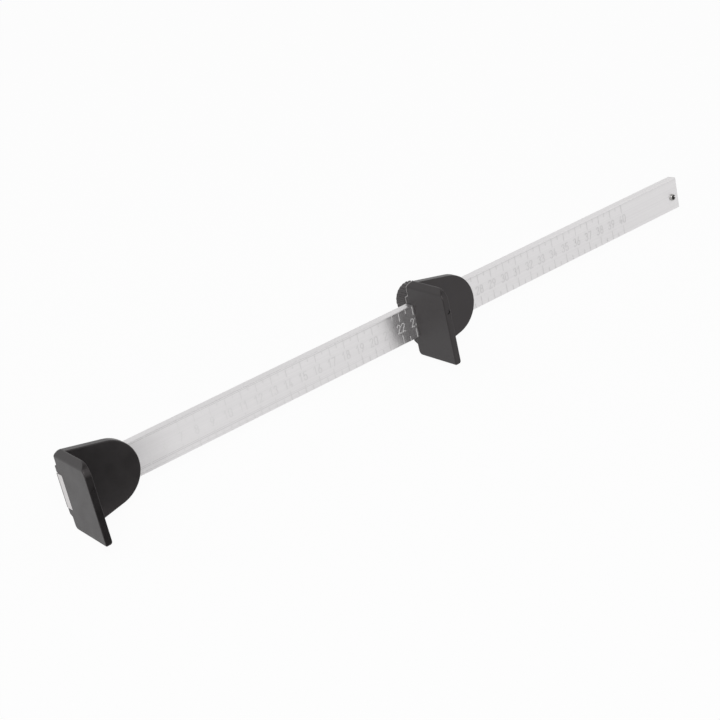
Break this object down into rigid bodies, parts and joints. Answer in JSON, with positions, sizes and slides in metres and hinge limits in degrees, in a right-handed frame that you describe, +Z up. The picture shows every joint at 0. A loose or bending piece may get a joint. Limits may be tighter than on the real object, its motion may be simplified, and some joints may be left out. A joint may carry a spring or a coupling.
{
  "type": "roofing batten gauge",
  "caption": "Flat aluminium scale bar with a fixed head at zero and a sliding head clamped by a thumbscrew, used to set even spacing between roof battens.",
  "frame": {"origin": "centre of the fixed head's stop face, flush with the bar's end", "axes": "+X along the bar from the fixed head to the free end, -X out of the stop face, +Z up as the gauge rests on a table on the toes of both heads and the rim of the knob"},
  "size_m": [0.4484, 0.0714, 0.0515],
  "materials": {
    "bar_aluminium": "brushed lengthwise, etched centimetre scale",
    "head_plastic": "fine matt grain, moulded",
    "knob_plastic": "fine matt grain, ridged",
    "pad_plastic": "smooth, moulded",
    "insert_brass": "turned",
    "screw_steel": "zinc plated",
    "pin_steel": "bright spring steel"
  },
  "bodies": {
    "bar": {"scale_bar": "bar_aluminium", "end_stop_pin": "pin_steel", "fixed_head": "head_plastic", "fixed_head_insert": "insert_brass", "fixed_head_set_screw": "screw_steel"},
    "slider": {"sliding_head": "head_plastic", "clamp_insert": "insert_brass"},
    "pad": {"pressure_pad": "pad_plastic"},
    "knob": {"clamp_screw": "screw_steel", "clamp_knob": "knob_plastic"}
  },
  "joints": [
    {"name": "slider_slide", "type": "slide", "parent": "bar", "child": "slider", "axis": [1, 0, 0], "range_m": [-0.1886, 0.1714]},
    {"name": "pad_travel", "type": "slide", "parent": "slider", "child": "pad", "axis": [0, 0.9412, -0.338], "range_m": [0, 0.002]},
    {"name": "knob_turn", "type": "hinge", "parent": "pad", "child": "knob", "pos_m": [0.2518, 0.02212, -0.00794], "axis": [0, 0.9412, -0.338], "range_deg": [0, 720]}
  ],
  "couplings": [
    {"joint": "pad_travel", "follows": "knob_turn", "m_per_rad": 0.00015915}
  ]
}
